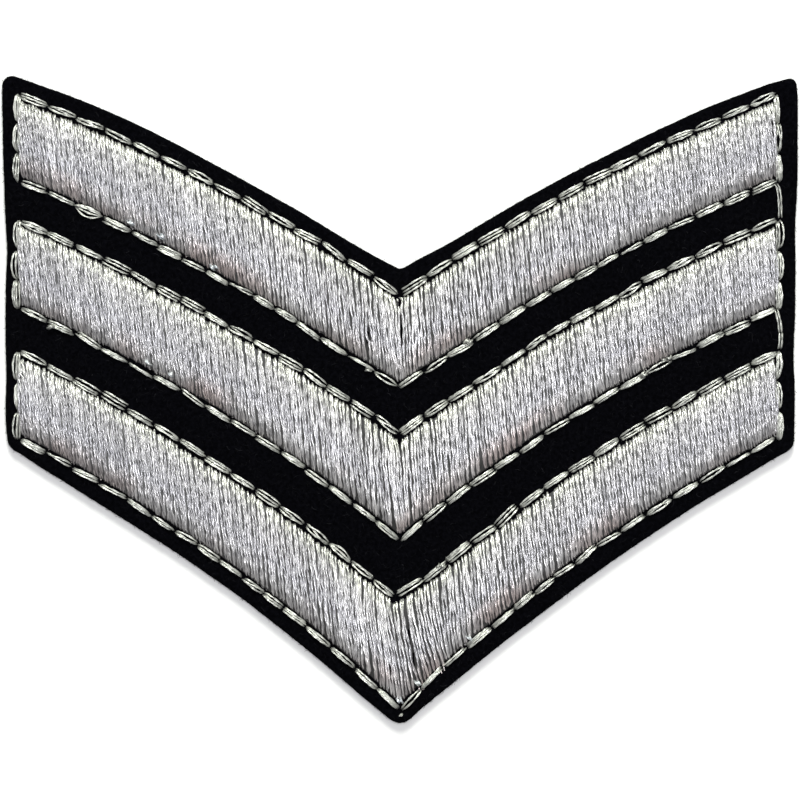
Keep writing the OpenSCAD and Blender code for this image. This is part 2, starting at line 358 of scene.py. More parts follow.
class MeshParts:
    """Collects tubes and sheets into one mesh."""

    def __init__(self):
        self.points, self.bands, self.faces, self.count, self.tubes = [], [], [], 0, 0

    def add(self, points, faces, slot=0, uv=None, band=None):
        """Adds points, and faces that count from the first of them."""
        self.points.append(points)
        self.bands.append(np.zeros(len(points)) if band is None else band)
        self.count += len(points)
        self.add_faces(np.asarray(faces) + self.count - len(points), slot, uv)

    def add_faces(self, faces, slot=0, uv=None):
        """Adds faces that count from the mesh's first point."""
        self.faces.append((faces, slot, np.zeros((faces.size, 2)) if uv is None else uv))

    def tube(self, path, side, up, radius, sides, slot=0, band=None):
        """A closed tube along path; side and up are unit vectors across it at each point."""
        turn = np.arange(sides) * 2 * math.pi / sides
        radius = np.broadcast_to(radius, len(path))[:, None, None]
        ring = np.cos(turn)[None, :, None] * side[:, None] + np.sin(turn)[None, :, None] * up[:, None]
        points = (path[:, None] + radius * ring).reshape(-1, 3)
        i = np.arange(len(path) - 1)[:, None] * sides
        j = np.arange(sides)[None]
        k = (j + 1) % sides
        walls = np.stack([i + j, i + k, i + sides + k, i + sides + j], axis=-1).reshape(-1, 4)
        ends = np.array([range(sides)[::-1], range((len(path) - 1) * sides, len(path) * sides)])
        run = run_along(path) + UV_STRIDE * self.tubes
        self.tubes += 1
        u = np.broadcast_to(np.stack([j, j + 1, j + 1, j], axis=-1) / sides, (len(path) - 1, sides, 4))
        v = np.stack([run[:-1], run[:-1], run[1:], run[1:]], axis=-1)[:, None].repeat(sides, axis=1)
        band = None if band is None else np.repeat(band, sides)
        self.add(points, walls, slot, np.stack([u, v], axis=-1).reshape(-1, 2), band)
        self.add_faces(ends + self.count - len(points), slot)

    def object(self, name, materials):
        """The collected mesh as a smooth-shaded object."""
        mesh = bpy.data.meshes.new(name)
        points = np.concatenate(self.points) * MM
        corners = np.concatenate([faces.reshape(-1) for faces, _, _ in self.faces])
        sizes = np.concatenate([np.full(len(faces), faces.shape[1]) for faces, _, _ in self.faces])
        slots = np.concatenate([np.full(len(faces), slot) for faces, slot, _ in self.faces])
        mesh.vertices.add(len(points))
        mesh.vertices.foreach_set("co", points.reshape(-1))
        mesh.loops.add(len(corners))
        mesh.loops.foreach_set("vertex_index", corners)
        mesh.polygons.add(len(sizes))
        mesh.polygons.foreach_set("loop_start", np.concatenate([[0], np.cumsum(sizes)[:-1]]))
        mesh.polygons.foreach_set("loop_total", sizes)
        for material in materials:
            mesh.materials.append(material)
        mesh.polygons.foreach_set("material_index", slots)
        mesh.polygons.foreach_set("use_smooth", np.ones(len(sizes), bool))
        mesh.uv_layers.new(name="thread")
        uvs = np.concatenate([uv for _, _, uv in self.faces])
        mesh.uv_layers[0].data.foreach_set("uv", uvs.reshape(-1))
        mesh.attributes.new("band", "FLOAT", "POINT")
        mesh.attributes["band"].data.foreach_set("value", np.concatenate(self.bands))
        mesh.update(calc_edges=True)
        obj = bpy.data.objects.new(name, mesh)
        bpy.context.scene.collection.objects.link(obj)
        return obj


def across(path):
    """Unit vectors to the side of a path and up from it, at each of its points."""
    along = np.gradient(path, axis=0)
    along /= np.linalg.norm(along, axis=1)[:, None]
    side = np.cross([0.0, 0.0, 1.0], along)
    side /= np.linalg.norm(side, axis=1)[:, None] + 1e-12
    return side, np.cross(along, side)


def twisted_thread(parts, path, ply_r, ply_off, twist, rng, band=None):
    """Two plies wound round each other along a path, unevenly and a little flattened."""
    side, up = across(path)
    run = run_along(path)
    slack = np.cumsum(rng.normal(size=len(path))) * TWIST_SLACK * math.sqrt(run[-1] / len(path))
    first = rng.uniform(0, 2 * math.pi) - 2 * math.pi * run / twist + slack
    for turn in (first, first + math.pi):
        ply = path + ply_off * (np.cos(turn)[:, None] * side + THREAD_FLAT * np.sin(turn)[:, None] * up)
        ply_side, ply_up = across(ply)
        parts.tube(ply, ply_side, ply_up, ply_r, PLY_SIDES, 0, band)


# Materials


def new_material(name):
    """A material with its Principled shader, and the node tree to add to."""
    material = bpy.data.materials.new(name)
    material.use_nodes = True
    tree = material.node_tree
    return material, tree, tree.nodes["Principled BSDF"]


def place(tree, scale):
    """Object coordinates, stretched by a scale for each axis."""
    coords = tree.nodes.new("ShaderNodeTexCoord")
    mapping = tree.nodes.new("ShaderNodeMapping")
    mapping.inputs["Scale"].default_value = scale
    tree.links.new(coords.outputs["Object"], mapping.inputs["Vector"])
    return mapping.outputs["Vector"]


def along_x(tree, left_mm, right_mm):
    """How far to the right a point lies, 0 at one place on the object's x axis and 1 at another."""
    coords = tree.nodes.new("ShaderNodeTexCoord")
    split = tree.nodes.new("ShaderNodeSeparateXYZ")
    share = tree.nodes.new("ShaderNodeMapRange")
    share.inputs["From Min"].default_value = left_mm * MM
    share.inputs["From Max"].default_value = right_mm * MM
    tree.links.new(coords.outputs["Object"], split.inputs["Vector"])
    tree.links.new(split.outputs["X"], share.inputs["Value"])
    return share.outputs["Result"]


def noise(tree, vector, scale, detail=2.0, roughness=0.5):
    """A noise texture's value."""
    node = tree.nodes.new("ShaderNodeTexNoise")
    node.inputs["Scale"].default_value = scale
    node.inputs["Detail"].default_value = detail
    node.inputs["Roughness"].default_value = roughness
    tree.links.new(vector, node.inputs["Vector"])
    return node.outputs["Fac"]


def ramp(tree, value, stops):
    """A colour ramp through (position, colour) stops."""
    node = tree.nodes.new("ShaderNodeValToRGB")
    elements = node.color_ramp.elements
    while len(elements) < len(stops):
        elements.new(0.5)
    for element, (position, colour) in zip(elements, stops):
        element.position = position
        element.color = (*colour, 1.0)
    tree.links.new(value, node.inputs["Fac"])
    return node.outputs["Color"]


def multiply(tree, first, second, share=None):
    """The product of two colours, or a share of the way to it."""
    node = tree.nodes.new("ShaderNodeMix")
    node.data_type = "RGBA"
    node.blend_type = "MULTIPLY"
    node.inputs[0].default_value = 1.0
    if share:
        tree.links.new(share, node.inputs[0])
    tree.links.new(first, node.inputs[6])
    tree.links.new(second, node.inputs[7])
    return node.outputs[2]


def bump(tree, height, shader, strength, distance):
    """Bump on a shader, with its distance in metres."""
    node = tree.nodes.new("ShaderNodeBump")
    node.inputs["Strength"].default_value = strength
    node.inputs["Distance"].default_value = distance
    tree.links.new(height, node.inputs["Height"])
    tree.links.new(node.outputs["Normal"], shader.inputs["Normal"])


def felt_material():
    """Black wool felt: matted fibres that only just catch the light."""
    material, tree, shader = new_material("felt")
    vector = place(tree, (1.0, 1.0, 1.0))
    matted = noise(tree, vector, 2600.0, 5.0, 0.7)
    colour = ramp(tree, matted, [(0.4, (0.0003, 0.0003, 0.0007)), (0.75, (0.0024, 0.0024, 0.0036))])
    tree.links.new(colour, shader.inputs["Base Color"])
    shader.inputs["Roughness"].default_value = 0.95
    shader.inputs["Specular IOR Level"].default_value = 0.02
    bump(tree, matted, shader, 0.8, 0.00012)
    return material


def fuzz_material():
    """Loose felt fibres, a little paler than the matted face."""
    material, tree, shader = new_material("fuzz")
    geometry = tree.nodes.new("ShaderNodeNewGeometry")
    stops = [(0.0, (0.001, 0.001, 0.0016)), (0.9, (0.006, 0.006, 0.008)), (1.0, (0.03, 0.03, 0.035))]
    colour = ramp(tree, geometry.outputs["Random Per Island"], stops)
    tree.links.new(colour, shader.inputs["Base Color"])
    shader.inputs["Roughness"].default_value = 0.8
    shader.inputs["Specular IOR Level"].default_value = 0.1
    bump(tree, noise(tree, place(tree, (1.0, 1.0, 1.0)), 30000.0), shader, 0.3, 0.00002)
    return material


def thread_material(name, dark, light, roughness):
    """Silky grey thread, with fine filaments along it and each ply a little lighter or darker, and
    painted light and shade: across a bar by its band, in brown patches at its foot, and along the patch
    by x.
    """
    material, tree, shader = new_material(name)
    geometry = tree.nodes.new("ShaderNodeNewGeometry")
    colour = ramp(tree, geometry.outputs["Random Per Island"], [(0.0, dark), (1.0, light)])
    uv = tree.nodes.new("ShaderNodeUVMap")
    stretch = tree.nodes.new("ShaderNodeMapping")
    stretch.inputs["Scale"].default_value = FILAMENT_SCALE
    tree.links.new(uv.outputs["UV"], stretch.inputs["Vector"])
    filaments = noise(tree, stretch.outputs["Vector"], 1.0, 2.0, 0.6)
    streaks = ramp(tree, filaments, [(0.32, (0.5, 0.5, 0.51)), (0.6, (1.0, 1.0, 1.0))])
    band = tree.nodes.new("ShaderNodeAttribute")
    band.attribute_name = "band"
    # Painted light and shade across the bar, from its top edge to its foot
    painted_light_across_bar = ramp(tree, band.outputs["Fac"], BAND_PAINTED_LIGHT)
    patches = noise(tree, place(tree, (1.0, 1.0, 1.0)), 130.0, 2.0)
    # Painted shade in brownish patches near each bar's foot, where it turns away from the light
    brown_foot_shade = ramp(tree, patches, [(0.48, (1.0, 1.0, 1.0)), (0.66, (0.84, 0.75, 0.73))])
    foot_shade_mask = ramp(tree, band.outputs["Fac"], [(0.65, (0.0, 0.0, 0.0)), (0.85, (1.0, 1.0, 1.0))])
    tinted = multiply(tree, multiply(tree, colour, streaks), painted_light_across_bar)
    tinted = multiply(tree, tinted, brown_foot_shade, foot_shade_mask)
    # Painted light along the patch, by x
    rightwards = along_x(tree, *PAINTED_LIGHT_SPAN)
    tinted = multiply(tree, tinted, ramp(tree, rightwards, SPAN_PAINTED_LIGHT))
    # Painted shade at the feet, by x
    tinted = multiply(tree, tinted, ramp(tree, rightwards, FOOT_PAINTED_SHADE), foot_shade_mask)
    tree.links.new(tinted, shader.inputs["Base Color"])
    shader.inputs["Roughness"].default_value = roughness
    shader.inputs["Metallic"].default_value = THREAD_METAL
    shader.inputs["Specular IOR Level"].default_value = 0.6
    bump(tree, filaments, shader, 0.7, 0.00006)
    return material


def padding_shade_material():
    """The padding and the lower layers of thread, seen only in the gaps; their dark colour is painted
    shade between the threads, darker at the bars' middles and at their feet.
    """
    material, tree, shader = new_material("padding")
    streaks = noise(tree, place(tree, (1.0, 0.15, 1.0)), 5000.0, 3.0)
    colour = ramp(tree, streaks, [(0.3, (0.045, 0.045, 0.047)), (0.7, (0.14, 0.14, 0.143))])
    colour = multiply(tree, colour, ramp(tree, along_x(tree, *PADDING_REACH), PADDING_PAINTED_SHADE))
    band = tree.nodes.new("ShaderNodeAttribute")
    band.attribute_name = "band"
    # Painted shade at the bars' feet, where the threads dive into the felt
    foot = ramp(tree, band.outputs["Fac"], [(0.8, (1.0, 1.0, 1.0)), (0.97, (0.3, 0.28, 0.28))])
    tree.links.new(multiply(tree, colour, foot), shader.inputs["Base Color"])
    shader.inputs["Roughness"].default_value = 0.8
    bump(tree, streaks, shader, 0.5, 0.0001)
    return material


def floor_material():
    """Plain pale floor."""
    material, tree, shader = new_material("floor")
    shader.inputs["Base Color"].default_value = FLOOR_SHADE
    shader.inputs["Roughness"].default_value = 0.9
    shader.inputs["Specular IOR Level"].default_value = 0.1
    return material


# Camera, light and floor


def add_camera():
    """Straight above the patch, with a long lens, framed as the photo is."""
    width = (cad_bounds[1][0] - cad_bounds[0][0]) / MM
    mm_per_px = width / PATCH_PX
    shift = [(PHOTO_SIDE_PX / 2 - px) * mm_per_px for px in PATCH_MIDDLE_PX]
    data = bpy.data.cameras.new("camera")
    data.sensor_width = SENSOR
    data.lens = SENSOR * CAMERA_DISTANCE / (PHOTO_SIDE_PX * mm_per_px)
    data.clip_start = 0.01
    data.clip_end = 10.0
    camera = bpy.data.objects.new("camera", data)
    felt_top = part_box("felt_backing")[1][2] / MM
    camera.location = Vector((shift[0], -shift[1], felt_top + CAMERA_DISTANCE)) * MM
    bpy.context.scene.collection.objects.link(camera)
    bpy.context.scene.camera = camera


def add_area(name, place_mm, size_mm, power, colour):
    """A square lamp that faces the patch."""
    data = bpy.data.lights.new(name, "AREA")
    data.size = size_mm * MM
    data.energy = power
    data.color = colour
    lamp = bpy.data.objects.new(name, data)
    lamp.location = Vector(place_mm) * MM
    lamp.rotation_euler = (-lamp.location).to_track_quat("-Z", "Y").to_euler()
    bpy.context.scene.collection.objects.link(lamp)


def add_studio():
    """A pale floor, a soft key light from the open side of the V and an even fill."""
    bpy.ops.mesh.primitive_plane_add(size=FLOOR_SIZE_M, location=(0, 0, -FLOOR_BELOW_M))
    floor = bpy.context.object
    floor.name = "floor"
    floor.data.materials.append(floor_material())
    for name, place_mm, power, colour in LAMPS:
        add_area(name, place_mm, LAMP_SIZE, power, colour)
    world = bpy.data.worlds.new("studio")
    world.use_nodes = True
    world.node_tree.nodes["Background"].inputs["Color"].default_value = SKY
    world.node_tree.nodes["Background"].inputs["Strength"].default_value = SKY_STRENGTH
    bpy.context.scene.world = world
    bpy.context.scene.view_settings.view_transform = "Standard"


# Stitches of the outlines, read from the frame


class Stitch:
    """One stitch of an outline: its middle, direction, length and width, and the row it is in."""

    def __init__(self, centre, along, length, width):
        self.centre, self.along, self.length, self.width = centre, along, length, width

    def place(self, which, bar):
        """Finds the row, and moves the stitch to where the photo shows it."""
        self.row, self.inner = toward_bar(bar, self.centre, self.along)
        slides = STITCH_SLIDES.get((which, self.row), [])
        ends = []
        for sign in (-1, 1):
            end = self.centre + sign * self.along * self.length / 2
            slide = sum(far * math.exp(-((end[0] - at) / half) ** 2) for at, far, half in slides)
            ends.append(as_sewn(end + slide * self.along))
        span = ends[1] - ends[0]
        self.length = math.hypot(*span)
        self.centre, self.along = (ends[0] + ends[1]) / 2, span / self.length


def as_sewn(points):
    """Points in x and y moved from the even V to where the sewing lies in the photo."""
    x, y = points[..., 0], points[..., 1]
    move_x = np.interp(x, list(SEWING_ASIDE), list(SEWING_ASIDE.values()))
    move_y = np.zeros_like(x)
    for (near_x, near_y), reach, (push_x, push_y) in SEWING_PUSHES:
        near = np.exp(-((x - near_x) ** 2 + (y - near_y) ** 2) / reach ** 2)
        move_x = move_x + push_x * near
        move_y = move_y + push_y * near
    return points + np.stack([move_x, move_y], axis=-1)


def read_stitches(which, bar):
    """The stitches of a bar's outline node, from the left end to the right."""
    points, tris = node_mesh(which + "_outline")
    label = np.arange(len(points))
    while True:
        before = label.copy()
        lowest = label[tris].min(axis=1)
        for corner in range(3):
            np.minimum.at(label, tris[:, corner], lowest)
        if (label == before).all():
            break
    stitches = []
    for island in np.unique(label):
        flat = points[label == island][:, :2]
        middle = (flat.max(axis=0) + flat.min(axis=0)) / 2
        values, vectors = np.linalg.eigh(np.cov((flat - middle).T))
        along = vectors[:, 1] * (1 if vectors[0, 1] >= 0 else -1)
        reach = (flat - middle) @ along
        breadth = (flat - middle) @ np.array([-along[1], along[0]])
        centre = middle + along * (reach.max() + reach.min()) / 2
        stitches.append(Stitch(centre, along, np.ptp(reach), np.ptp(breadth)))
    stitches.sort(key=lambda s: (round(s.centre[0], 3), round(s.centre[1], 3)))
    for stitch in stitches:
        stitch.place(which, bar)
    return stitches


# Felt


def smooth_random(rng, count, waves):
    """A closed random curve of about unit size, as a sum of the first waves."""
    t = np.linspace(0, 2 * math.pi, count, endpoint=False)
    value = np.zeros(count)
    for n in range(2, waves):
        value += rng.normal() * np.cos(n * t + rng.uniform(0, 2 * math.pi)) / math.sqrt(waves / 2)
    return value


def resample(loop, step):
    """Even steps round a closed loop, clockwise or not as it was."""
    closed = np.vstack([loop, loop[:1]])
    run = run_along(closed)
    at = np.linspace(0, run[-1], int(run[-1] / step), endpoint=False)
    return np.stack([np.interp(at, run, closed[:, k]) for k in (0, 1)], axis=1)


def inward(loop):
    """Unit vectors that point into a closed loop."""
    along = np.roll(loop, -1, axis=0) - np.roll(loop, 1, axis=0)
    normal = np.stack([-along[:, 1], along[:, 0]], axis=1)
    normal /= np.linalg.norm(normal, axis=1)[:, None]
    x, y = loop[:, 0], loop[:, 1]
    turned = np.sum(x * np.roll(y, -1) - np.roll(x, -1) * y)
    return normal if turned > 0 else -normal


def grid_in(loop, step, rng):
    """A jittered grid of points that lie inside a loop, clear of it."""
    low, high = loop.min(axis=0), loop.max(axis=0)
    x, y = np.meshgrid(np.arange(low[0], high[0], step), np.arange(low[1], high[1], step))
    points = np.stack([x.ravel(), y.ravel()], axis=1) + rng.uniform(-0.25, 0.25, (x.size, 2)) * step
    a, b = loop, np.roll(loop, -1, axis=0)
    inside = np.zeros(len(points), bool)
    for (ax, ay), (bx, by) in zip(a, b):
        if ay == by:
            continue
        between = (points[:, 1] < ay) != (points[:, 1] < by)
        inside ^= between & (points[:, 0] < ax + (points[:, 1] - ay) / (by - ay) * (bx - ax))
    tree = KDTree(len(loop))
    for n, (px, py) in enumerate(loop):
        tree.insert((px, py, 0), n)
    tree.balance()
    return np.array([p for p in points[inside] if tree.find((p[0], p[1], 0))[2] > step * 0.7])


def fill(loop, step, rng):
    """Points and triangles that fill a loop; the loop's own points come first, in order."""
    points = np.vstack([loop, grid_in(loop, step, rng)])
    around = [(n, (n + 1) % len(loop)) for n in range(len(loop))]
    filled = delaunay_2d_cdt([Vector(p) for p in points], around, [], 1, 1e-7)
    return np.array([tuple(v) for v in filled[0]]), np.array(filled[2])


def edge_stray(loop, into):
    """How far the photographed edge stands out from the plain V at each point of the loop."""
    sides = [(into[:, 1] < -0.5, 0, UPPER_EDGE_STRAY), (into[:, 1] > 0.5, 0, LOWER_EDGE_STRAY),
             (into[:, 0] > 0.87, 1, LEFT_EDGE_STRAY), (into[:, 0] < -0.87, 1, RIGHT_EDGE_STRAY)]
    out = np.full(len(loop), EDGE_OUT)
    for on_side, axis, strays in sides:
        bumps = sum(far * np.exp(-((loop[:, axis] - at) / half) ** 2) for at, far, half in strays)
        out += np.where(on_side, bumps, 0)
    return np.convolve(np.concatenate([out[-4:], out, out[:4]]), np.full(9, 1 / 9), "valid")


def make_felt(stitches, material):
    """The felt V, with a softened cut edge, a matted face and a dimple at each needle hole."""
    rng = np.random.default_rng(11)
    points, tris = node_mesh("felt_backing")
    top = points[:, 2].max()
    loop = resample(rim_loop(rim_edges(points, tris)), EDGE_STEP)
    into = inward(loop)
    wave = EDGE_WAVE * smooth_random(rng, len(loop), 40) + EDGE_FRAY * rng.normal(size=len(loop))
    loop = loop + into * (wave - edge_stray(loop, into))[:, None]
    holes = KDTree(2 * len(stitches))
    for n, stitch in enumerate(stitches):
        for m, sign in enumerate((-1, 1)):
            end = stitch.centre + sign * stitch.along * stitch.length / 2
            holes.insert((end[0], end[1], 0), 2 * n + m)
    holes.balance()

    parts = MeshParts()
    # How far in and how high each ring of the cut edge lies
    rings = [(EDGE_ROUND * 0.7, 0.0), (0.0, 0.25 * top), (0.02, 0.7 * top), (EDGE_ROUND, top - 0.05)]
    walls = np.concatenate([
        np.column_stack([loop + into * (inset + EDGE_FRAY * rng.normal(size=len(loop)))[:, None],
                         np.full(len(loop), z)])
        for inset, z in rings])
    around = len(loop)
    n = np.arange(around)
    m = (n + 1) % around
    quads = np.concatenate([
        np.stack([r * around + n, r * around + m, (r + 1) * around + m, (r + 1) * around + n], axis=1)
        for r in range(len(rings) - 1)])
    face_loop = walls[-around:, :2] + into * EDGE_ROUND
    face, face_tris = fill(face_loop, FELT_GRID, rng)
    z = np.full(len(face), top)
    for k, (x, y) in enumerate(face):
        _, _, gap = holes.find((x, y, 0))
        z[k] -= FELT_DIMPLE * math.exp(-(gap / FELT_DIMPLE_R) ** 2)
    z += FELT_GRAIN * rng.normal(size=len(face))
    z[:around] = top - 0.01
    rim = len(walls)
    last = (len(rings) - 1) * around
    joint = np.stack([last + n, last + m, rim + m, rim + n], axis=1)
    back, back_tris = fill(walls[:around, :2], FELT_BACK_GRID, rng)
    back_start = rim + len(face)
    bottom = np.column_stack([back[around:], np.zeros(len(back) - around)])
    back_tris = np.where(back_tris < around, back_tris, back_tris - around + back_start)[:, ::-1]
    parts.add(np.vstack([walls, np.column_stack([face, z]), bottom]), quads)
    for faces in (joint, face_tris + rim, back_tris):
        parts.add_faces(faces)
    felt = parts.object("felt", [material])
    fix_normals(felt)
    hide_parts("felt_backing")
    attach(felt, "root")
    return loop, into, np.column_stack([face, z]), face_tris


def make_fuzz(bars, loop, into, face, tris, material):
    """Short loose fibres on the open felt and round its cut edge."""
    rng = np.random.default_rng(12)
    parts = MeshParts()
    a, b, c = face[tris[:, 0]], face[tris[:, 1]], face[tris[:, 2]]
    area = np.linalg.norm(np.cross(b - a, c - a), axis=1)
    picks = rng.choice(len(tris), size=3 * FIBRES, p=area / area.sum())
    u, v = rng.random((2, len(picks), 1))
    u, v = np.where(u + v > 1, 1 - u, u), np.where(u + v > 1, 1 - v, v)
    starts = a[picks] + u * (b[picks] - a[picks]) + v * (c[picks] - a[picks])
    open_felt = [p for p in starts if not any(bar.covers(p[0], p[1]) for bar in bars.values())]
    for start in open_felt[:FIBRES]:
        add_fibre(parts, start, rng.uniform(0, 2 * math.pi), rng.uniform(*FIBRE_LENGTH), rng)
    for n in rng.choice(len(loop), size=EDGE_FIBRES):
        outward = math.atan2(-into[n, 1], -into[n, 0])
        heading = outward + rng.choice([-1, 1]) * rng.uniform(*EDGE_FIBRE_TURN)
        start = np.append(loop[n] + 0.02 * into[n], rng.uniform(0.3, 1.0) * face[0, 2])
        add_fibre(parts, start, heading, rng.uniform(*EDGE_FIBRE_LENGTH), rng)
    fuzz = parts.object("felt_fuzz", [material])
    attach(fuzz, "root")


def add_fibre(parts, start, heading, length, rng):
    """One curled fibre that lies almost flat."""
    t = np.linspace(0, 1, 4)
    turn = heading + rng.normal() * FIBRE_CURL * t
    steps = length / 3 * np.column_stack([np.cos(turn), np.sin(turn)])[:-1]
    xy = start[:2] + np.vstack([[0, 0], np.cumsum(steps, axis=0)])
    z = start[2] + rng.uniform(*FIBRE_ARCH) * np.sin(math.pi * t) + 0.004
    path = np.column_stack([xy, z])
    side, up = across(path)
    parts.tube(path, side, up, FIBRE_R, 3)


def fix_normals(obj):
    """Turns every face outwards."""
    bpy.context.view_layer.objects.active = obj
    obj.select_set(True)
    bpy.ops.object.mode_set(mode="EDIT")
    bpy.ops.mesh.select_all(action="SELECT")
    bpy.ops.mesh.normals_make_consistent(inside=False)
    bpy.ops.object.mode_set(mode="OBJECT")
    obj.select_set(False)


# Satin bars


class Bar:
    """One bar of the frame: its rim and the height of its face."""

    def __init__(self, name):
        points, tris = node_mesh(name)
        self.edges = rim_edges(points, tris)
        self.floor = points[:, 2].min()
        self.reach = points[:, 0].max()
        self.tree = BVHTree.FromPolygons(points.tolist(), tris.tolist())

    def rim(self, x):
        """Highest and lowest y of the bar at x, as if the split at its middle were closed."""
        x = math.copysign(max(abs(x), SPLIT_HALF), x)
        return crossings(self.edges, float(np.clip(x, -self.reach + 0.02, self.reach - 0.02)))

    def covers(self, x, y):
        """Whether a point is under the bar or its outline."""
        high, low = self.rim(x)
        beside = abs(x) > self.reach + COVERED_MARGIN
        return not beside and low - COVERED_MARGIN < y < high + COVERED_MARGIN

    def face(self, x, y):
        """Height of the bar's face, which runs on level past its ends."""
        x = min(max(x, 0.05 - self.reach), self.reach - 0.05)
        hit = self.tree.ray_cast((x, y, 10.0), (0, 0, -1))[0]
        return hit[2] if hit is not None else self.floor


class Slit:
    """A parting between threads, from one y to another, widest at its top or at its middle."""

    def __init__(self, x, top, foot, half, lean=0.0, peak=0.5):
        self.x, self.top, self.foot, self.half, self.slope, self.peak = x, top, foot, half, lean, peak

    def width(self, y):
        """Half the parting's width at y."""
        share = (self.top - y) / (self.top - self.foot)
        rise = np.clip(share / max(self.peak, 1e-6), 0, 1) if self.peak else np.where(share < 0, 0, 1)
        return self.half * np.clip(np.minimum(rise, (1 - share) / (1 - self.peak)), 0, 1)

    def groove(self, x, y):
        """How deep the padding sinks below the parting."""
        width = self.width(y)
        sides = np.clip(GROOVE_FLAT - np.abs(x - self.x) / (width + GROOVE_WIDEN), 0, 1)
        return np.where(width > 0, sides, 0) * GROOVE_DEPTH

    def push(self, x, y):
        """How far the parting moves threads aside, less and less with the distance from it."""
        away = x - self.x + self.slope * (y - self.top)
        return np.where(away >= 0, 1, -1) * self.width(y) * np.exp(-np.abs(away) / SLIT_REACH)


def looseness(x, tight, loose):
    """A value that goes from tight at the ends of a bar to loose at its middle."""
    return tight + (loose - tight) * math.exp(-(x / LOOSE_REACH) ** 2)


def fan(x):
    """How far the foot of a thread near the lower bar's middle lies to the right of its top."""
    middle, half, far = LOWER_FAN
    return far * math.exp(-((x - middle) / half) ** 2)


def satin_path(which, bar, x, lean, slits, rng):
    """One thread, from its needle hole at the upper edge to the one at the lower edge."""
    limit = bar.reach - SATIN_END
    slope = math.tan(math.radians(lean))
    high, low = bar.rim(x)
    middle = (high + low) / 2
    top_inset, low_inset = rng.uniform(*SATIN_TOP_INSET), rng.uniform(*SATIN_LOW_INSET)
    if rng.random() < SHORT_THREADS * looseness(x, *LOOSE_SHORTS):
        top_inset += rng.uniform(*SHORTER_BY)
    for _ in range(2):
        high = bar.rim(x - slope * (high - middle))[0]
        low = bar.rim(x - slope * (low - middle))[1]
    high, low = high - top_inset, low + low_inset
    count = int((high - low) / SATIN_STEP) - 6
    ends = np.array(END_RINGS)
    inner = np.linspace(ends[-1] + END_GAP, high - low - ends[-1] - END_GAP, count)
    run = np.concatenate([ends, inner, high - low - ends[::-1]])
    y = high - run
    wobble = SATIN_WOBBLE * np.sin(run * rng.uniform(*SATIN_WOBBLE_RATE) + rng.uniform(0, 6.3))
    to_middle = -SATIN_GATHER * math.copysign(math.exp(-abs(x) / SATIN_GATHER_REACH), x)
    foot_aside = fan(x) if which == "lower" else to_middle
    xs = x - slope * (y - middle) + wobble + foot_aside * (run / run[-1]) ** 2
    for slit in slits:
        if abs(slit.x - x) < 4:
            xs += slit.push(xs, y)
    xs = np.clip(xs, -limit, limit)
    lift = rng.uniform(-SATIN_LIFT, SATIN_LIFT) * looseness(x, *LOOSE_LIFT)
    share = 2 * (y - low) / (high - low) - 1
    dome = np.where(share > 0, SATIN_DOME * share ** 2, SATIN_DROOP * share ** 4)
    z = np.array([bar.face(a, b) for a, b in zip(xs, y)]) - SATIN_SINK - dome + lift
    z += SATIN_WAVE * np.sin(run * rng.uniform(*SATIN_WOBBLE_RATE) + rng.uniform(0, 6.3))
    z[:len(ends)] -= END_DEPTHS
    z[-len(ends):] -= END_DEPTHS[::-1]
    return np.column_stack([as_sewn(np.column_stack([xs, y])), np.maximum(z, bar.floor - 0.25)])


def find_slits(bars):
    """The split at the top of each bar's middle, and the finer partings seen in the photo."""
    slits = {}
    for which, bar in bars.items():
        high, low = bar.rim(0.0)
        foot = high - SPLIT_DEPTH[which]
        slits[which] = [Slit(0.05, high + SPLIT_ABOVE, foot, SPLIT_OPEN[which], peak=0.0)]
    # The thin line that runs on down from the upper bar's split
    high, low = bars["upper"].rim(0.0)
    slits["upper"].append(Slit(0.2, high - 1.0, low + 2.6, 0.11, 0.02, 0.4))
    for which, x, top, foot, half, lean in SLITS:
        slits[which].append(Slit(x, top, foot, half, lean))
    return slits


def find_partings(bar, rng):
    """Narrow gaps between neighbouring threads, more of them towards the middle of a bar."""
    partings = []
    for x in rng.normal(size=PARTINGS) * PARTING_SPREAD:
        high, low = bar.rim(x)
        length = rng.uniform(*PARTING_LENGTH)
        top = rng.uniform(low + length, high - CLOSED_TOP)
        half = rng.uniform(*PARTING_HALF)
        lean = rng.normal() * PARTING_LEAN_JITTER + PARTING_LEAN
        partings.append(Slit(x, top, top - length, half, lean))
    return partings


def make_satin(which, bar, slits, materials, seed):
    """A bar of satin stitch: padding, and twisted threads laid side by side over it."""
    rng = np.random.default_rng(seed)
    parts = MeshParts()
    openings = slits + find_partings(bar, rng)
    x = -bar.reach + SATIN_END
    while x < bar.reach - SATIN_END:
        near_middle = math.exp(-(x / UPRIGHT_REACH) ** 2)
        lean = SATIN_LEAN * (1 - UPRIGHT_SHARE * near_middle)
        lean += rng.normal() * SATIN_LEAN_JITTER * looseness(x, *LOOSE_LEAN)
        path = satin_path(which, bar, x, lean, openings, rng)
        twist = SATIN_TWIST * rng.uniform(*SATIN_TWIST_JITTER) * looseness(x, *LOOSE_TWIST)
        band = (path[0, 1] - path[:, 1]) / (path[0, 1] - path[-1, 1])
        ply_r = SATIN_PLY_R * looseness(x, *LOOSE_PLY_R)
        ply_off = SATIN_PLY_OFF * looseness(x, *LOOSE_PLY_OFF)
        twisted_thread(parts, path, ply_r, ply_off, twist, rng, band)
        jitter = SATIN_PITCH_JITTER * looseness(x, *LOOSE_PITCH)
        x += SATIN_PITCH * rng.uniform(1 - jitter, 1 + jitter)
    add_padding(parts, bar, slits)
    satin = parts.object(which + "_satin", materials)
    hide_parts(which + "_bar")
    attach(satin, "root")
    return satin


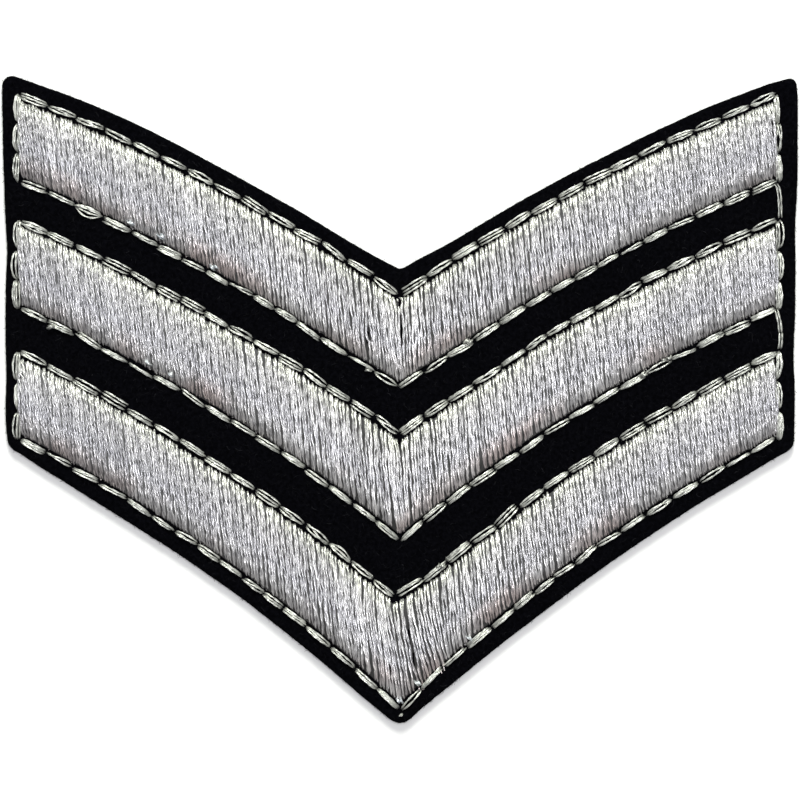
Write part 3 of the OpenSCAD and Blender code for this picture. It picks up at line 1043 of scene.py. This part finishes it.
def add_padding(parts, bar, slits):
    """The padded body under the threads, closed down to the felt."""
    columns = np.arange(-bar.reach + PADDING_END, bar.reach - PADDING_END, PADDING_STEP)
    steps = np.arange(-GROOVE_STEPS, GROOVE_STEPS + 1) * GROOVE_STEP
    near = [slit.x + step for slit in slits for step in steps]
    share = (1 - np.cos(np.linspace(0, math.pi, PADDING_ROWS))) / 2
    off_middle = 2 * share - 1
    dome = np.where(share > 0.5, SATIN_DOME * off_middle ** 2, SATIN_DROOP * off_middle ** 4)
    top = []
    for x in sorted([*columns, *near]):
        high, low = bar.rim(x)
        ys = low + PADDING_FOOT + (high - low - PADDING_FOOT - PADDING_TOP) * share
        groove = sum(slit.groove(x, ys) for slit in slits)
        z = np.array([bar.face(x, y) for y in ys]) - PADDING_SINK - dome
        top.append(np.column_stack([np.full(len(ys), x), ys, np.maximum(z, bar.floor + 0.02) - groove]))
    top = np.array(top)
    top[:, :, :2] = as_sewn(top[:, :, :2])
    top[:, :, 2] = np.maximum(top[:, :, 2], bar.floor - 0.15)
    rows, wide = top.shape[:2]
    low = top.copy()
    low[:, :, 2] = bar.floor - 0.25
    index = np.arange(rows * wide).reshape(rows, wide)
    quads = np.stack([index[:-1, :-1], index[1:, :-1], index[1:, 1:], index[:-1, 1:]], axis=-1)
    quads = quads.reshape(-1, 4)
    under = quads[:, ::-1] + rows * wide
    rim = np.concatenate([index[:, 0], index[-1, 1:], index[-2::-1, -1], index[0, -2:0:-1]])
    following = np.roll(rim, -1)
    walls = np.stack([rim, rim + rows * wide, following + rows * wide, following], axis=1)
    points = np.vstack([top.reshape(-1, 3), low.reshape(-1, 3)])
    parts.add(points, np.concatenate([quads, under, walls]), 1, band=np.tile(1 - share, 2 * rows))


# Outline stitches


def turned(vector, degrees):
    """A flat vector turned by some degrees."""
    cosine, sine = math.cos(math.radians(degrees)), math.sin(math.radians(degrees))
    return np.array([vector[0] * cosine - vector[1] * sine, vector[0] * sine + vector[1] * cosine])


def toward_bar(bar, centre, along):
    """Which row a stitch is in, and the unit vector square to it that points at its bar."""
    beside = np.array([-along[1], along[0]])
    if abs(centre[0]) > bar.reach:
        return "end", beside if beside[0] * centre[0] < 0 else -beside
    row = "lower" if sum(bar.rim(centre[0])) / 2 > centre[1] else "upper"
    return row, beside if (beside[1] > 0) == (row == "lower") else -beside


def side_by_side(shifts):
    """How far aside and how much higher each strand of a stitch lies along it, when they lie apart."""
    return [(np.full(STRAND_RINGS, shift), np.zeros(STRAND_RINGS)) for shift in shifts]


def wound_together(strands, spread, rng):
    """The same for strands that wind slowly round each other."""
    turn = 2 * math.pi * rng.uniform(*WOUND_TURNS) * np.linspace(0, 1, STRAND_RINGS)
    first = rng.uniform(0, 2 * math.pi)
    angles = [first + 2 * math.pi * n / strands + turn for n in range(strands)]
    return [(spread * np.sin(angle), WOUND_LIFT * np.cos(angle)) for angle in angles]


def add_strand(parts, centre, along, lane, ends, power, length, felt_top, rise, rng):
    """One strand of a stitch, bowed aside along its lane, with its ends sunk in the felt."""
    t = np.linspace(0, 1, STRAND_RINGS)
    belly = np.sin(math.pi * t) ** power
    bow = belly + (1 - belly) * (ends[0] + (ends[1] - ends[0]) * t)
    beside = np.array([-along[1], along[0]])
    aside, higher = lane
    flat = centre + ((t - 0.5) * length)[:, None] * along + (bow * aside)[:, None] * beside
    z = felt_top - STITCH_SINK + (STITCH_SINK + rise + higher) * np.sin(math.pi * t) ** STITCH_ARCH
    twist = STRAND_TWIST * rng.uniform(*STRAND_TWIST_JITTER)
    # The strands take the painted light of a bar's top edge
    band = np.full(len(t), KEY_LIT_BAND)
    twisted_thread(parts, np.column_stack([flat, z]), STRAND_PLY_R, STRAND_PLY_OFF, twist, rng, band)


def odd_offsets(which, centre):
    """Where each strand of an odd stitch lies, outwards from the row, or None for a common one."""
    for odd_bar, place_mm, offsets in ODD_STITCHES:
        if odd_bar == which and math.dist(place_mm, centre) < ODD_NEAR:
            return offsets
    return None


def make_stitches(which, stitches, material, felt_top, seed):
    """The stitches round one bar, each of a few strands between two needle holes."""
    rng = np.random.default_rng(seed)
    parts = MeshParts()
    for stitch in stitches:
        row, inner = stitch.row, stitch.inner
        centre = stitch.centre + (STITCH_TUCK[row] + STITCH_STRAY * rng.normal()) * inner
        along = turned(stitch.along, rng.normal() * STITCH_TURN)
        beside = np.array([-along[1], along[0]])
        strands = rng.choice(STRANDS[row])
        spread = (stitch.width / 2 - STRAND_PLY_R - 0.5 * STRAND_PLY_OFF) * STITCH_WIDTH[row]
        spread *= rng.uniform(*STITCH_WIDTH_JITTER)
        shifts = np.linspace(-1, 1, strands) * spread * (PAIR_SHARE if strands == 2 else 1)
        shifts += rng.normal(size=strands) * STRAND_STRAY
        ends, power = rng.uniform(*STITCH_END_SPREAD, size=2), STITCH_BELLY
        if row == "end":
            shifts -= END_BULGE * np.sign(beside @ inner)
            ends = ends * END_POINTED
        lanes = side_by_side(shifts)
        offsets = odd_offsets(which, centre)
        if offsets:
            lanes = side_by_side([-offset * np.sign(beside @ inner) for offset in offsets])
            ends, power = ODD_END_SPREAD, ODD_BELLY
        elif rng.random() < WOUND_SHARE[row]:
            lanes = wound_together(strands, spread, rng)
            ends = rng.uniform(*WOUND_ENDS, size=2)
        for lane in lanes:
            rise = STITCH_RISE + rng.uniform(*STRAND_RISE_JITTER)
            slid = centre + along * rng.normal() * STRAND_SLIP
            reach = stitch.length + rng.uniform(*STRAND_LENGTH_JITTER)
            add_strand(parts, slid, along, lane, ends, power, reach, felt_top, rise, rng)
    piece = parts.object(which + "_stitches", [material])
    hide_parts(which + "_outline")
    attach(piece, "root")
    return piece


def smooth_path(points, steps):
    """A Catmull-Rom curve through points, with some steps between each pair."""
    p = np.array([2 * np.array(points[0]) - points[1], *points, 2 * np.array(points[-1]) - points[-2]])
    t = np.linspace(0, 1, steps, endpoint=False)[:, None]
    spans = []
    for a, b, c, d in zip(p, p[1:], p[2:], p[3:]):
        slope, bend, twist = c - a, 2 * a - 5 * b + 4 * c - d, 3 * b - a - 3 * c + d
        spans.append(b + 0.5 * (slope * t + bend * t ** 2 + twist * t ** 3))
    return np.vstack([*spans, p[-2:-1]])


def make_travel_threads(material, felt_top):
    """The strands that cross the felt at the right from one outline to the next."""
    rng = np.random.default_rng(61)
    parts = MeshParts()
    for points in TRAVEL_THREADS:
        for aside in TRAVEL_ASIDE:
            flat = smooth_path(points, 6) + [aside, 0.0]
            t = np.linspace(0, 1, len(flat))
            z = felt_top - TRAVEL_SINK + TRAVEL_ARCH * np.sin(math.pi * t) ** 0.3
            path = np.column_stack([flat, z])
            twisted_thread(parts, path, STRAND_PLY_R, STRAND_PLY_OFF, STRAND_TWIST, rng)
    piece = parts.object("travel_threads", [material])
    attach(piece, "root")


def make_bits(name, places, headings, half_length, strands, material, felt_top, seed):
    """Short raised ends of thread at some places, each a few strands between two headings in degrees."""
    rng = np.random.default_rng(seed)
    parts = MeshParts()
    for x, y, size in places:
        for _ in range(strands):
            heading = math.radians(rng.uniform(*headings))
            reach = half_length * size * rng.uniform(*BIT_REACH_JITTER)
            step = np.array([math.cos(heading), math.sin(heading)]) * reach
            start = np.array([x + rng.uniform(-0.3, 0.3) * size, y + rng.uniform(-0.1, 0.1)])
            flat = smooth_path([start - step, start + rng.normal(size=2) * 0.03, start + step], 4)
            t = np.linspace(0, 1, len(flat))
            path = np.column_stack([flat, felt_top + BIT_LIFT + BIT_ARCH * np.sin(math.pi * t)])
            ply_r = 0.045 + 0.03 * size
            twisted_thread(parts, path, ply_r, 0.6 * ply_r, BIT_TWIST, rng, np.full(len(t), KEY_LIT_BAND))
    piece = parts.object(name, [material])
    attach(piece, "root")


def main():
    """Builds the whole scene."""
    add_camera()
    add_studio()
    felt = felt_material()
    satin = thread_material("satin", (0.5, 0.5, 0.51), (1.0, 1.0, 1.0), 0.27)
    outline = thread_material("outline", (0.48, 0.49, 0.49), (0.88, 0.89, 0.88), 0.29)
    padding = padding_shade_material()
    bars = {which: Bar(which + "_bar") for which in BARS}
    stitches = {which: read_stitches(which, bars[which]) for which in BARS}
    felt_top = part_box("felt_backing")[1][2] / MM
    felt_shape = make_felt(sum(stitches.values(), []), felt)
    make_fuzz(bars, *felt_shape, fuzz_material())
    make_travel_threads(outline, felt_top)
    # Loose ends of thread, coloured a brighter, bluish white than the rest: a painted highlight for the
    # glints they catch
    bluish_glint = thread_material("loose", (0.8, 0.86, 1.0), (0.92, 0.95, 1.0), 0.3)
    make_bits("loose_bits", LOOSE_BITS, (-75, -30), 0.34, 4, bluish_glint, felt_top, 62)
    make_bits("knots", KNOTS, (-20, 70), 0.3, 3, outline, felt_top, 63)
    slits = find_slits(bars)
    for seed, which in enumerate(BARS):
        make_satin(which, bars[which], slits[which], [satin, padding], 20 + seed)
        make_stitches(which, stitches[which], outline, felt_top, 40 + seed)


main()
